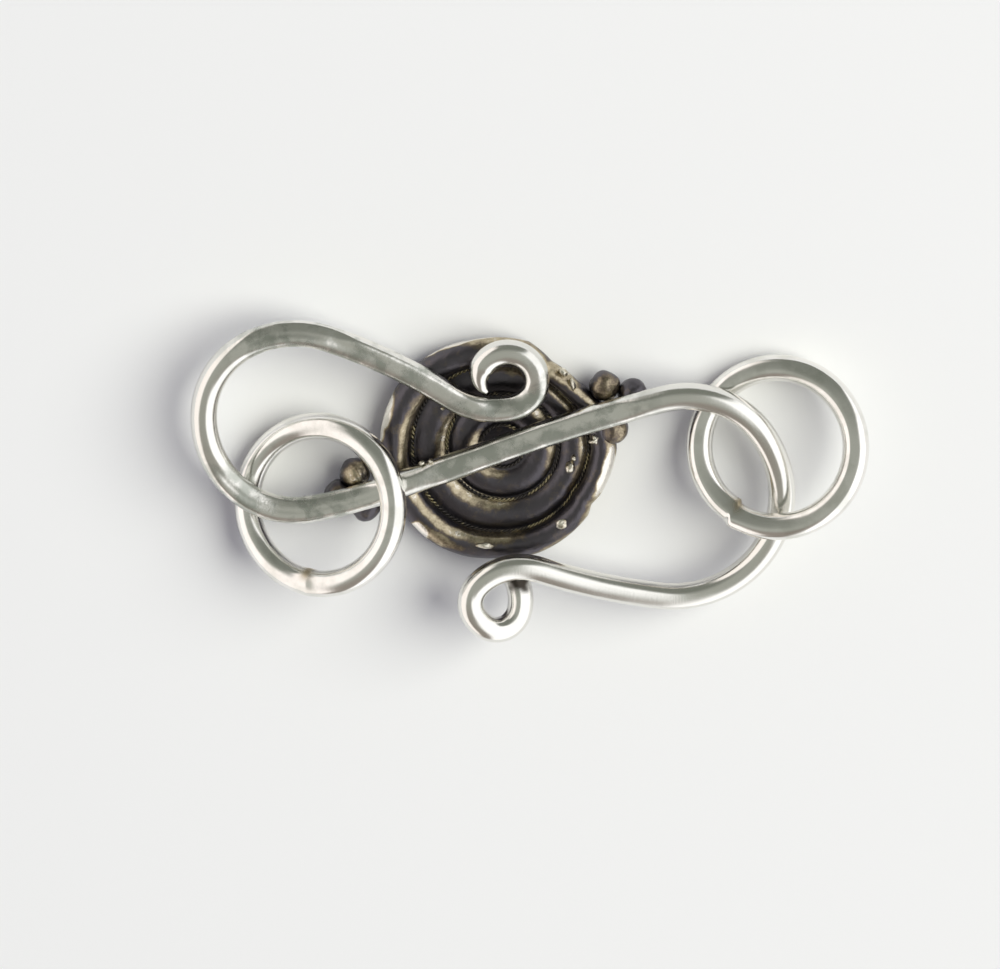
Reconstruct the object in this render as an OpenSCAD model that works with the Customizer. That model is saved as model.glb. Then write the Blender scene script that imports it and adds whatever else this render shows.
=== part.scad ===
// S-hook clasp with a ribbed round disc and a closed ring on each loop, lying flat.
// X runs along the clasp, Y across it, and the clasp rests on the plane z = 0.
// The origin is the middle of the clasp's box, on that plane.

/* [Hook wire] */
// Diameter of the hook wire at the middle of its bar
hook_wire_d = 1.28; // [1.2:0.02:1.32]
// Height of the bar's centre line above the surface
hook_height = 2.1; // [2.06:0.01:2.14]
// Direction of the bar that crosses the disc, from X
bar_angle = 21; // [20:0.5:22]
// How much thinner the wire is after each bend
draw_down = 0.008; // [0.006:0.001:0.01]
// Diameter of the blunt tip of the filed point that ends the upper curl
point_tip_d = 0.3; // [0.2:0.02:0.4]

/* [Disc] */
// Diameter of the disc
disc_d = 10.8; // [10.6:0.1:11]
// Height of the disc's rim
rim_height = 1.56; // [1.54:0.01:1.6]
// Height of the middle of the disc, inside
floor_height = 0.55; // [0.45:0.05:0.7]
// Diameter of the flat that the disc rests on
foot_d = 6; // [5.4:0.1:6.4]
// Height of the rim's lower edge
skirt_height = 0.62; // [0.5:0.02:0.7]

/* [Granules] */
// Diameter of the granules
granule_d = 1.42; // [1.4:0.01:1.46]
// Height of the granules' centres
granule_height = 1.1; // [1.08:0.01:1.14]

/* [Rings] */
// Diameter of the rings, outside
ring_d = 8.65; // [8.6:0.01:8.7]
// Diameter of the ring wire
ring_wire_d = 1.24; // [1.2:0.02:1.26]
// Diameter of the solder bead where a ring closes
bead_d = 1.32; // [1.3:0.01:1.34]

/* [Hidden] */
$fn = 64;

// The middle of the bar, where both halves of the hook start
middle = [-1.38, 1.43];

// Columns of a bend: length along the wire, how far it turns to the left, and how far it is
// rolled about the wire from the bend before it
BEND_LENGTH = 0;
BEND_TURN = 1;
BEND_ROLL = 2;

// The half that ends in the lower curl, from the middle of the bar. It dips in its loop and
// rises again towards the curl.
right_bends = [
    [8.0, -6, 0],
    [5.3, -72.4, 4.6],
    [2.3, -21, 0],
    [9.35, -110.5, -5.7],
    [6.0, -11.7, 0],
    [3.1, 63.5, 2],
    [5.8, 261, 0]
];

// The half that ends in the pointed upper curl, from the middle of the bar
left_bends = [
    [6.2, -2, 0],
    [3.2, -9, 0],
    [3.8, -55, 0],
    [4.1, -49, 0],
    [4.3, -62, 0],
    [3.5, -43, 0],
    [6.4, -15, 0],
    [3.1, 46, 0],
    [5.4, 228, 0]
];

// The filed point that goes on from the upper curl: equal short bends
point_bend = [0.42, 24];
point_steps = 3;

// How far each bend starts inside the thicker one before it
lap = 0.03;

// How many draw-downs thinner the point starts than the curl that it ends
point_draws = 2.5;

// How much wider the ball at each joint of the point is than the cones that it joins
joint_swell = 1.03;

// The disc's middle, from the middle of the bar
disc_offset = [-0.03, -0.3];

// Radius of the rim's rounding
rim_round = 0.62;

// How far inside the foot's edge the dish starts to rise
dish_inset = 0.4;

// Columns of a rib: radius of its crest, height of its crest, radius of its rounding
RIB_RADIUS = 0;
RIB_CREST = 1;
RIB_ROUND = 2;
ribs = [
    [1.84, 0.8, 0.9],
    [3.37, 1.02, 0.9],
    [disc_d / 2 - rim_round, rim_height, rim_round]
];

// X and Y of each granule, from the middle of the bar
right_granules = [[4.88, 2.83], [6.19, 2.43], [5.3, 0.71]];
left_granules = [[-6.8, -1.45], [-7.5, -2.52], [-6.3, -3.1]];

// Columns of a ring's place: X and Y from the middle of the bar, the height of its middle,
// how far it leans, the direction that it leans to, and where along it the solder bead is
RING_X = 0;
RING_Y = 1;
RING_Z = 2;
RING_LEAN = 3;
RING_WAY = 4;
RING_BEAD = 5;
left_ring_place = [-8.4, -2.66, 2.24, 25.4, 153.1, 110];
right_ring_place = [12.95, 0.06, 1.89, 19.5, 125.6, 112];

silver = "silver";
dark_silver = "dimgray";

// A bend's radius, positive to the left
function bend_radius(bend) = bend[BEND_LENGTH] * 180 / (PI * bend[BEND_TURN]);

// Takes its children from the start of a bend to its end
module past(bend) {
    r = bend_radius(bend);
    translate([0, r, 0]) rotate([0, 0, bend[BEND_TURN]]) translate([0, -r, 0]) children();
}

// One bend of round wire, starting at the origin along X
module bend_of_wire(bend, wire_d) {
    r = abs(bend_radius(bend));
    back = lap * 180 / (PI * r);
    side = bend[BEND_TURN] > 0 ? 0 : 1;
    mirror([0, side, 0])
        translate([0, r, 0])
            rotate([0, 0, -90 - back])
                rotate_extrude(angle = abs(bend[BEND_TURN]) + back)
                    translate([r, 0]) circle(d = wire_d);
}

// Half of the hook, starting at the origin along X: each bend goes on from the one before it,
// a little thinner, and the children go on from the last
module half_hook(bends, wire_d, i = 0) {
    if (i < len(bends))
        rotate([bends[i][BEND_ROLL], 0, 0]) {
            bend_of_wire(bends[i], wire_d - draw_down * i);
            past(bends[i]) half_hook(bends, wire_d, i + 1) children();
        }
    else
        children();
}

// The filed point at the end of the upper curl: a cone for each bend, with a ball where they meet
module point(i = 0) {
    base_d = hook_wire_d - draw_down * (len(left_bends) - 0.5 + point_draws);
    step_d = (base_d - point_tip_d) / point_steps;
    end_d = base_d - step_d * (i + 1);
    cone_h = point_bend[BEND_LENGTH];
    cone_lap = lap * 2;
    if (i < point_steps)
        rotate([0, 0, point_bend[BEND_TURN] / 2]) {
            rotate([0, 90, 0]) {
                translate([0, 0, -cone_lap]) cylinder(h = cone_h + cone_lap, d1 = base_d - step_d * i, d2 = end_d);
                translate([0, 0, cone_h]) sphere(d = end_d * joint_swell);
            }
            translate([cone_h, 0, 0]) rotate([0, 0, point_bend[BEND_TURN] / 2]) point(i + 1);
        }
}

// The hook wire, with the middle of its bar over the origin
module hook_wire() {
    translate([0, 0, hook_height]) rotate([0, 0, bar_angle]) {
        half_hook(right_bends, hook_wire_d);
        rotate([0, 0, 180]) half_hook(left_bends, hook_wire_d - draw_down / 2) point();
    }
}

// Half of the disc's section: rounded ribs on a shallow dish, flat where it rests
module disc_section() {
    rim_r = disc_d / 2;
    foot_r = foot_d / 2;
    crest_r = rim_r - rim_round;
    top = rim_height + rim_round;
    intersection() {
        union() {
            for (rib = ribs)
                translate([rib[RIB_RADIUS], rib[RIB_CREST] - rib[RIB_ROUND]]) circle(r = rib[RIB_ROUND]);
            polygon([
                [0, 0], [foot_r, 0], [crest_r, skirt_height - rim_round / 2],
                [crest_r, rim_height - rim_round], [foot_r - dish_inset, floor_height], [0, floor_height]
            ]);
        }
        polygon([[0, 0], [foot_r, 0], [rim_r, skirt_height], [rim_r, top], [0, top]]);
    }
}

// The ribbed disc, under the middle of the bar
module disc() {
    translate([disc_offset[0], disc_offset[1], 0]) rotate_extrude() disc_section();
}

// The two clusters of granules at the disc's ends
module granules() {
    for (at = concat(right_granules, left_granules))
        translate([at[0], at[1], granule_height]) sphere(d = granule_d);
}

module s_hook() {
    translate([middle[0], middle[1], 0]) {
        color(silver) hook_wire();
        color(dark_silver) disc();
        color(dark_silver) granules();
    }
}

// A closed ring of round wire with its solder bead
module ring(at) {
    r = (ring_d - ring_wire_d) / 2;
    translate([middle[0] + at[RING_X], middle[1] + at[RING_Y], at[RING_Z]])
        rotate([0, at[RING_LEAN], at[RING_WAY]]) {
            rotate_extrude() translate([r, 0]) circle(d = ring_wire_d);
            rotate([0, 0, at[RING_BEAD]]) translate([r, 0, 0]) sphere(d = bead_d);
        }
}

module left_ring() {
    color(silver) ring(left_ring_place);
}

module right_ring() {
    color(silver) ring(right_ring_place);
}

s_hook();
left_ring();
right_ring();
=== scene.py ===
"""Looks of a silver S-hook clasp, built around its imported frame.

The classes hold the sizes of a silversmith's sub-assemblies in millimetres and turn them to metres
where a mesh is made. X runs along the clasp, Y across it and Z up from the table that it lies on.
"""
import logging
import math
from abc import ABC, abstractmethod
from collections.abc import Iterable
from dataclasses import dataclass
from enum import Enum

import bpy
import numpy as np
from mathutils import Matrix, Vector, noise


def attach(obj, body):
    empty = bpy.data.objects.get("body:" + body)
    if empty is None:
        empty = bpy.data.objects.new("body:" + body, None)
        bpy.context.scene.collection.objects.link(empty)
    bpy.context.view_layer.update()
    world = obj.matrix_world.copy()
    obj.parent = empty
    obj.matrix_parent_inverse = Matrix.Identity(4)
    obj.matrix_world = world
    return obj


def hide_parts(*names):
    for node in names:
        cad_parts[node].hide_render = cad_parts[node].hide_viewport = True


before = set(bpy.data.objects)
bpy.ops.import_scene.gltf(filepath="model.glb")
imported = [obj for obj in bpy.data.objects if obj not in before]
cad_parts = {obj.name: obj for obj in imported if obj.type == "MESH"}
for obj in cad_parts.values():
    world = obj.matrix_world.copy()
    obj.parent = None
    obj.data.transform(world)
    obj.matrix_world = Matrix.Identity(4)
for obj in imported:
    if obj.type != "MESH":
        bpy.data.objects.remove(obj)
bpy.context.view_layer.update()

log = logging.getLogger("clasp")

MM = 0.001

# The middle of the bar that crosses the disc, which the hook, the disc and the granules are placed from
BAR_MIDDLE = np.array([-1.38, 1.43])

# The photograph's frame in pixels, and the real width of one pixel
PHOTO_WIDTH = 1000
PIXEL = 0.0469

# Inputs of a Mix node, whose names repeat: those for two values and those for two colours
VALUE_A = 2
VALUE_B = 3
COLOUR_A = 6
COLOUR_B = 7

# Settings of a Mix node for colours, and of a Map Range node that eases in and out
COLOURS = {"data_type": "RGBA"}
EASED = {"interpolation_type": "SMOOTHSTEP"}

# How far a seed of 1 moves a pattern, in lumps
SEED_STEPS = (17.3, 5.1, -9.7)

# The middle value of a noise pattern, which raises no relief
PATTERN_MIDDLE = 0.5

# A mesh: its vertices in rows of three, and its faces
Mesh = tuple[np.ndarray, list[tuple[int, ...]]]

# Two numbers: a range, or a place's X and Y; and three numbers
Span = tuple[float, float]
Triple = tuple[float, float, float]


class Node(Enum):
    """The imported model's nodes."""

    HOOK = "s_hook"
    LEFT_RING = "left_ring"
    RIGHT_RING = "right_ring"


class Slot(Enum):
    """The record's material slots."""

    HOOK = "hook_silver"
    RING = "ring_silver"


class Seam(Enum):
    """How a ring's two ends meet: how far they miss each other, outwards and up, in millimetres."""

    FLUSH = (0.0, 0.02)
    STEPPED = (0.17, 0.08)


def linear(hex_colour: str) -> tuple[float, float, float, float]:
    """Turns an sRGB hex colour to linear values.

    Args:
        hex_colour: a colour such as "#C0C0BC".

    Returns:
        Linear red, green and blue, and an alpha of 1.
    """
    parts = [int(hex_colour[i:i + 2], 16) / 255 for i in (1, 3, 5)]
    values = [p / 12.92 if p <= 0.04045 else ((p + 0.055) / 1.055) ** 2.4 for p in parts]
    return (values[0], values[1], values[2], 1.0)


def add_node(tree: bpy.types.NodeTree, kind: str, inputs: dict | list | tuple = (),
             **settings: object) -> bpy.types.Node:
    """Adds a node to a tree with its settings and links.

    Args:
        tree: the tree that takes the node.
        kind: the node's type, without the word ShaderNode.
        inputs: what its inputs take, in their order, or by their names or numbers: values, hex colours,
            output sockets, or nodes, of which the first output in use is taken.
        settings: the node's own properties.

    Returns:
        The new node.
    """
    node = tree.nodes.new("ShaderNode" + kind)
    for name, value in settings.items():
        setattr(node, name, value)
    for key, value in inputs.items() if isinstance(inputs, dict) else enumerate(inputs):
        if isinstance(value, bpy.types.Node):
            value = next(output for output in value.outputs if output.enabled)
        if isinstance(value, bpy.types.NodeSocket):
            tree.links.new(value, node.inputs[key])
        else:
            node.inputs[key].default_value = linear(value) if isinstance(value, str) else value
    return node


def grain(tree: bpy.types.NodeTree, size: float, stretch: tuple = (1, 1, 1),
          detail: float = 2) -> bpy.types.Node:
    """Adds a noise pattern whose lumps have a real size.

    Args:
        tree: the material's tree.
        size: the lumps' size in millimetres.
        stretch: how much finer the pattern is along each axis.
        detail: how many finer layers it has.

    Returns:
        The pattern's node, which gives values from 0 to 1.
    """
    place = add_node(tree, "TexCoord").outputs["Object"]
    scaled = add_node(tree, "VectorMath", [place, stretch], operation="MULTIPLY")
    return add_node(tree, "TexNoise", {"Vector": scaled, "Scale": 1 / (size * MM), "Detail": detail})


def smooth_step(low: float, high: float, values: np.ndarray) -> np.ndarray:
    """Rises smoothly from 0, where the values are at low, to 1, where they are at high."""
    t = np.clip((np.asarray(values, float) - low) / (high - low), 0, 1)
    return t * t * (3 - 2 * t)


def smooth_max(a: np.ndarray, b: np.ndarray, fillet: float | np.ndarray) -> np.ndarray:
    """The higher of two surfaces, rounded off where they meet, about as far as the fillet reaches."""
    return np.logaddexp(a / fillet, b / fillet) * fillet


def full_turn(count: int) -> np.ndarray:
    """Directions spread evenly round a circle, in radians."""
    return np.linspace(0, 2 * math.pi, count, endpoint=False)


def from_bar(x: float, y: float, z: float) -> np.ndarray:
    """A place whose X and Y are given from the middle of the bar, in the clasp's frame."""
    return np.array([BAR_MIDDLE[0] + x, BAR_MIDDLE[1] + y, z])


def polar(r: np.ndarray | float, angle: np.ndarray, z: np.ndarray | float) -> np.ndarray:
    """Places at distances from an axis, in directions in radians and at heights, in rows of three."""
    places = np.broadcast_arrays(r * np.cos(angle), r * np.sin(angle), z)
    return np.stack(places, -1).reshape(-1, 3)


def leaned_back(lean: float) -> np.ndarray:
    """The direction up from a flat that leans back by some degrees."""
    return np.array([0, math.sin(math.radians(lean)), math.cos(math.radians(lean))])


def spokes(across: np.ndarray, up: np.ndarray, count: int) -> np.ndarray:
    """Directions all round a wire, by place and by turn, from two directions across it at each place."""
    around = full_turn(count)[None, :, None]
    return across[:, None, :] * np.cos(around) + up[:, None, :] * np.sin(around)


def tube_faces(rows: int, columns: int, closed: bool) -> list[tuple[int, ...]]:
    """Quads over round rows of vertices, which are numbered row by row.

    Args:
        rows: how many rows there are.
        columns: how many vertices a row has.
        closed: whether the last row joins the first.

    Returns:
        The faces, as tuples of four vertex numbers.
    """
    here = np.arange(rows * columns).reshape(rows, columns)
    there = np.roll(here, -1, 0)
    quads = np.stack([here, np.roll(here, -1, 1), np.roll(there, -1, 1), there], -1)
    return [tuple(quad) for quad in quads[:rows if closed else rows - 1].reshape(-1, 4).tolist()]


def capped_faces(rows: int, columns: int) -> list[tuple[int, ...]]:
    """Faces of a tube that is closed at both ends, each with a vertex in its middle.

    Args:
        rows: how many rows there are.
        columns: how many vertices a row has. The middles of the first row and of the last follow
            after all of them.

    Returns:
        The faces, as tuples of vertex numbers.
    """
    hub = rows * columns
    last = hub - columns
    faces = tube_faces(rows, columns, False)
    faces += [(hub, (j + 1) % columns, j) for j in range(columns)]
    faces += [(last + j, last + (j + 1) % columns, hub + 1) for j in range(columns)]
    return faces


def flipped(faces: list[tuple[int, ...]]) -> list[tuple[int, ...]]:
    """The same faces, looking the other way."""
    return [face[::-1] for face in faces]


def ball_mesh(rings: int, sides: int) -> Mesh:
    """A ball of radius 1.

    Args:
        rings: how many rows of vertices it has between its poles.
        sides: how many vertices a row has.

    Returns:
        The ball.
    """
    tilt = np.linspace(0, math.pi, rings + 2)[1:-1, None]
    points = polar(np.sin(tilt), full_turn(sides), np.cos(tilt))
    return np.concatenate([points, [[0, 0, 1], [0, 0, -1]]]), flipped(capped_faces(rings, sides))


def join_meshes(meshes: Iterable[Mesh]) -> Mesh:
    """Puts several meshes together.

    Args:
        meshes: the meshes.

    Returns:
        One mesh with the vertices and faces of all.
    """
    points, faces = [], []
    for own_points, own_faces in meshes:
        first = sum(len(p) for p in points)
        faces += [tuple(v + first for v in face) for face in own_faces]
        points.append(own_points)
    return np.concatenate(points), faces


def make_piece(name: str, points: np.ndarray, faces: list, **tones: np.ndarray) -> bpy.types.Object:
    """Makes a smooth mesh object in the clasp's frame.

    Args:
        name: the piece's name.
        points: its vertices in millimetres.
        faces: its faces.
        tones: for each vertex, values from 0 to 1: how far it is rubbed bright (wear), which on the disc
        and the granules also holds painted highlight, and how far its corners are darkened by patina and
        painted shade.

    Returns:
        The new object, in the scene.
    """
    mesh = bpy.data.meshes.new(name)
    mesh.from_pydata((np.asarray(points) * MM).tolist(), [], faces)
    for tone, values in tones.items():
        layer = mesh.attributes.new(tone, "FLOAT", "POINT")
        layer.data.foreach_set("value", np.asarray(values, np.float32))
    mesh.shade_smooth()
    mesh.update()
    piece = bpy.data.objects.new(name, mesh)
    bpy.context.scene.collection.objects.link(piece)
    return piece


def joined_piece(name: str, parts: Iterable[tuple[Mesh, np.ndarray]]) -> bpy.types.Object:
    """Makes one piece of several meshes, each with how far its vertices are rubbed bright, which for the
    granules also holds painted highlight.
    """
    meshes, wear = zip(*parts)
    return make_piece(name, *join_meshes(meshes), wear=np.concatenate(wear))


@dataclass(frozen=True)
class Ripple:
    """Smooth unevenness, to both sides of 0: its strength, how far apart its lumps are in millimetres,
    and a seed that moves the pattern, so that two pieces differ."""

    strength: float
    size: float
    seed: float = 0.0

    def at(self, points: np.ndarray, seed: float = 0.0) -> np.ndarray:
        """Reads the unevenness at places in rows of three, with a number added to its seed."""
        shift = Vector([(self.seed + seed) * step for step in SEED_STEPS])
        return np.array([noise.noise(Vector(p) / self.size + shift) for p in points]) * self.strength


@dataclass(frozen=True)
class Finish(ABC):
    """A surface finish of a bare metal, which builds one material."""

    name: str

    def material(self) -> bpy.types.Material:
        """Builds the finish's material, once.

        Returns:
            The material of this name.
        """
        made = bpy.data.materials.get(self.name)
        if made is None:
            made = bpy.data.materials.new(self.name)
            made.use_nodes = True
            tree = made.node_tree
            tree.nodes.clear()
            metal = add_node(tree, "BsdfPrincipled", {"Metallic": 1.0, **self.surface(tree)})
            add_node(tree, "OutputMaterial", {"Surface": metal})
        return made

    @abstractmethod
    def surface(self, tree: bpy.types.NodeTree) -> dict:
        """Adds the nodes of the finish, and returns what the metal's shader takes from them."""


@dataclass(frozen=True)
class HammeredSilver(Finish):
    """Sterling silver wire, hammered a little and tumbled bright.

    The hammer and the tumbler's shot leave a cloudy grey mottle of low dents on a bright metal, with
    fine scratches from wear. Where wear is high the wire is smoother, and mirrors its surroundings.
    Its corners near the curls are darkened to a brown-black patina colour, which stands partly for
    patina that polishing didn't reach and partly for painted shade where the wire runs close to itself.
    """

    name: str = "hammered_tumbled_sterling_silver"
    bright: str = "#F2F0EB"
    grey: str = "#B9BCB4"
    # The colour of the darkened corners: partly patina, partly painted shade
    patina: str = "#46413B"
    dent_size: float = 0.42
    dent_depth: float = 0.0065
    shot_size: float = 0.12
    shot_depth: float = 0.003
    # How far the shot marks are gone where the wire is smooth
    shot_worn: float = 0.65
    cloud_size: float = 0.924
    grey_clouds: Span = (0.4, 0.62)
    dull_clouds: Span = (0.35, 0.65)
    # How grey the wire is where it is smooth
    smooth_grey: float = 0.12
    scratch_size: float = 1.6
    scratch_depth: float = 0.002
    # Two sets of crossing scratches, drawn 0.03 mm apart because real ones are too fine to show
    scratch_stretches: tuple[tuple, tuple] = ((50, 2.5, 8), (3, 42, 8))
    smooth_roughness: float = 0.17
    dull_roughness: float = 0.31
    patina_roughness: float = 0.45

    def surface(self, tree: bpy.types.NodeTree) -> dict:
        """Adds the finish's nodes.

        Args:
            tree: the material's tree.

        Returns:
            What the metal's shader takes from them, by the names of its inputs.
        """
        smooth = add_node(tree, "Attribute", attribute_name="wear").outputs["Fac"]
        # How far the corners are darkened: partly patina, partly painted shade
        stain = add_node(tree, "Attribute", attribute_name="stain").outputs["Fac"]
        dents = grain(tree, self.dent_size)
        dents = add_node(tree, "Mix", {0: smooth, VALUE_A: dents, VALUE_B: PATTERN_MIDDLE})
        worn = add_node(tree, "MapRange", [smooth, 0, 1, 0, self.shot_worn], **EASED)
        shot = grain(tree, self.shot_size, detail=3)
        shot = add_node(tree, "Mix", {0: worn, VALUE_A: shot, VALUE_B: PATTERN_MIDDLE})
        scratches = [grain(tree, self.scratch_size, stretch, 1) for stretch in self.scratch_stretches]
        cloud = grain(tree, self.cloud_size, detail=4)
        mottle = add_node(tree, "MapRange", [cloud, *self.grey_clouds], **EASED)
        mottle = add_node(tree, "Mix", {0: smooth, VALUE_A: mottle, VALUE_B: self.smooth_grey})
        colour = add_node(tree, "Mix", {0: mottle, COLOUR_A: self.bright, COLOUR_B: self.grey}, **COLOURS)
        # The darkened corners take the patina colour, which is partly painted shade
        colour = add_node(tree, "Mix", {0: stain, COLOUR_A: colour, COLOUR_B: self.patina}, **COLOURS)
        roughness = (self.smooth_roughness, self.dull_roughness)
        gloss = add_node(tree, "MapRange", [cloud, *self.dull_clouds, *roughness], **EASED)
        gloss = add_node(tree, "Mix", {0: smooth, VALUE_A: gloss, VALUE_B: self.smooth_roughness})
        gloss = add_node(tree, "Mix", {0: stain, VALUE_A: gloss, VALUE_B: self.patina_roughness})
        normal = add_node(tree, "Bump", {"Height": dents, "Distance": self.dent_depth * MM})
        relief = {"Height": shot, "Distance": self.shot_depth * MM, "Normal": normal}
        normal = add_node(tree, "Bump", relief)
        marks = add_node(tree, "Math", scratches, operation="MULTIPLY")
        relief = {"Height": marks, "Distance": self.scratch_depth * MM, "Normal": normal}
        return {"Base Color": colour, "Roughness": gloss, "Normal": add_node(tree, "Bump", relief)}


@dataclass(frozen=True)
class PolishedSilver(Finish):
    """Sterling silver wire, drawn round, soldered closed and polished.

    It mirrors the white table and the lamp with soft edges, and has a few faint drawing lines.
    Where wear is high, brownish solder that polishing didn't reach is left on it, rougher than the wire.
    """

    name: str = "drawn_polished_sterling_silver"
    bright: str = "#F5F3EF"
    grey: str = "#E3E2DC"
    solder: str = "#B3A78F"
    cloud_size: float = 1.3
    grey_clouds: Span = (0.42, 0.68)
    dull_clouds: Span = (0.35, 0.7)
    shot_size: float = 0.16
    shot_depth: float = 0.0011
    line_size: float = 1.8
    line_depth: float = 0.0012
    # Drawing lines, drawn 0.04 mm apart because real ones are too fine to show
    line_stretch: tuple = (4, 45, 12)
    low_roughness: float = 0.13
    high_roughness: float = 0.2
    solder_roughness: float = 0.36

    def surface(self, tree: bpy.types.NodeTree) -> dict:
        """Adds the finish's nodes.

        Args:
            tree: the material's tree.

        Returns:
            What the metal's shader takes from them, by the names of its inputs.
        """
        solder = add_node(tree, "Attribute", attribute_name="wear").outputs["Fac"]
        cloud = grain(tree, self.cloud_size, detail=4)
        share = add_node(tree, "MapRange", [cloud, *self.grey_clouds], **EASED)
        colour = add_node(tree, "Mix", {0: share, COLOUR_A: self.bright, COLOUR_B: self.grey}, **COLOURS)
        colour = add_node(tree, "Mix", {0: solder, COLOUR_A: colour, COLOUR_B: self.solder}, **COLOURS)
        roughness = (self.low_roughness, self.high_roughness)
        gloss = add_node(tree, "MapRange", [cloud, *self.dull_clouds, *roughness], **EASED)
        gloss = add_node(tree, "Mix", {0: solder, VALUE_A: gloss, VALUE_B: self.solder_roughness})
        shot = grain(tree, self.shot_size)
        normal = add_node(tree, "Bump", {"Height": shot, "Distance": self.shot_depth * MM})
        lines = grain(tree, self.line_size, self.line_stretch, 1)
        relief = {"Height": lines, "Distance": self.line_depth * MM, "Normal": normal}
        return {"Base Color": colour, "Roughness": gloss, "Normal": add_node(tree, "Bump", relief)}


@dataclass(frozen=True)
class OxidisedSilver(Finish):
    """Sterling silver, blackened with a sulphur patina and rubbed back.

    The patina stays blue-black in the hollows, turns brown and tan where it is rubbed thin, and
    bare bright silver shows where the rim and the granules rub against clothes and skin. On the disc's
    rings and on the granules the brown and the tan also stand for a painted highlight on the sides
    that face the lamp.
    """

    name: str = "oxidised_rubbed_sterling_silver"
    patina: str = "#5E5B60"
    # Brown, tan and bare silver: between which amounts of wear each comes through, and its colour. The
    # wear is rubbing, and on the disc's rings and the granules also painted highlight
    layers: tuple[tuple[Span, str], ...] = (
        ((0.15, 0.42), "#7C7162"), ((0.36, 0.62), "#B9AD93"), ((0.62, 0.82), "#F0ECE4"),
    )
    cloud_size: float = 0.45
    grit_size: float = 0.09
    grit_depth: float = 0.007
    pit_size: float = 0.28
    pit_depth: float = 0.018
    # Between which values of a pattern a place goes from rubbed less than around it to rubbed more
    pattern: Span = (0.3, 0.7)
    cloud_rubbing: Span = (-0.11, 0.1)
    grit_rubbing: Span = (-0.06, 0.05)
    # Between which amounts of rubbing it turns from as rough as the patina to as smooth as bare silver
    gloss_rubbing: Span = (0.2, 0.85)
    patina_roughness: float = 0.36
    bare_roughness: float = 0.26

    def surface(self, tree: bpy.types.NodeTree) -> dict:
        """Adds the finish's nodes.

        Args:
            tree: the material's tree.

        Returns:
            What the metal's shader takes from them, by the names of its inputs.
        """
        grit = grain(tree, self.grit_size, detail=3)
        cloud = grain(tree, self.cloud_size, detail=4)
        uneven = add_node(tree, "MapRange", [cloud, *self.pattern, *self.cloud_rubbing], **EASED)
        # The wear: rubbing, and on the disc's rings and the granules also painted highlight on the sides
        # towards the lamp
        wear = add_node(tree, "Attribute", attribute_name="wear").outputs["Fac"]
        rubbed = add_node(tree, "Math", [wear, uneven], operation="ADD")
        uneven = add_node(tree, "MapRange", [grit, *self.pattern, *self.grit_rubbing], **EASED)
        rubbed = add_node(tree, "Math", [rubbed, uneven], operation="ADD")
        colour = self.patina
        for amounts, layer in self.layers:
            share = add_node(tree, "MapRange", [rubbed, *amounts], **EASED)
            colour = add_node(tree, "Mix", {0: share, COLOUR_A: colour, COLOUR_B: layer}, **COLOURS)
        roughness = (self.patina_roughness, self.bare_roughness)
        gloss = add_node(tree, "MapRange", [rubbed, *self.gloss_rubbing, *roughness], **EASED)
        pits = grain(tree, self.pit_size)
        normal = add_node(tree, "Bump", {"Height": pits, "Distance": self.pit_depth * MM})
        relief = {"Height": grit, "Distance": self.grit_depth * MM, "Normal": normal}
        return {"Base Color": colour, "Roughness": gloss, "Normal": add_node(tree, "Bump", relief)}


@dataclass(frozen=True)
class TarnishedSilver(Finish):
    """Fine silver wire, twisted and soldered down, with a yellow tarnish.

    The strands' tops are rubbed to a dull straw colour in places, and the rest stays dark.
    """

    name: str = "twisted_tarnished_fine_silver"
    groove: str = "#4A4744"
    straw: str = "#968D70"
    cloud_size: float = 1.1
    # Which part of the clouds goes over from dark places to rubbed ones, and how much rubbing that is
    dark_clouds: Span = (0.42, 0.66)
    cloud_rubbing: Span = (-0.9, 0.05)
    # Between which amounts of rubbing it goes over to the strands' tops, in colour and in gloss
    colour_rubbing: Span = (0.3, 0.8)
    gloss_rubbing: Span = (0.2, 0.8)
    groove_roughness: float = 0.45
    straw_roughness: float = 0.3

    def surface(self, tree: bpy.types.NodeTree) -> dict:
        """Adds the finish's nodes.

        Args:
            tree: the material's tree.

        Returns:
            What the metal's shader takes from them, by the names of its inputs.
        """
        cloud = grain(tree, self.cloud_size, detail=3)
        uneven = add_node(tree, "MapRange", [cloud, *self.dark_clouds, *self.cloud_rubbing], **EASED)
        wear = add_node(tree, "Attribute", attribute_name="wear").outputs["Fac"]
        rubbed = add_node(tree, "Math", [wear, uneven], operation="ADD")
        share = add_node(tree, "MapRange", [rubbed, *self.colour_rubbing], **EASED)
        colour = add_node(tree, "Mix", {0: share, COLOUR_A: self.groove, COLOUR_B: self.straw}, **COLOURS)
        roughness = (self.groove_roughness, self.straw_roughness)
        gloss = add_node(tree, "MapRange", [rubbed, *self.gloss_rubbing, *roughness], **EASED)
        return {"Base Color": colour, "Roughness": gloss}


@dataclass(frozen=True)
class FusedSolder(Finish):
    """Silver solder, melted to beads and puddles that nobody filed off.

    It is pale and a little yellow, with a soft gloss that stands out on the dark patina.
    """

    name: str = "melted_silver_solder"
    pale: str = "#EFEADB"
    dull: str = "#B9B09A"
    cloud_size: float = 0.25
    cloud_depth: float = 0.01
    dull_clouds: Span = (0.45, 0.65)
    roughness: float = 0.3

    def surface(self, tree: bpy.types.NodeTree) -> dict:
        """Adds the finish's nodes.

        Args:
            tree: the material's tree.

        Returns:
            What the metal's shader takes from them, by the names of its inputs.
        """
        cloud = grain(tree, self.cloud_size, detail=3)
        share = add_node(tree, "MapRange", [cloud, *self.dull_clouds], **EASED)
        colour = add_node(tree, "Mix", {0: share, COLOUR_A: self.pale, COLOUR_B: self.dull}, **COLOURS)
        normal = add_node(tree, "Bump", {"Height": cloud, "Distance": self.cloud_depth * MM})
        return {"Base Color": colour, "Roughness": self.roughness, "Normal": normal}


# A sub-assembly's pieces, each with its finish
Dressed = list[tuple[bpy.types.Object, Finish]]


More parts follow.
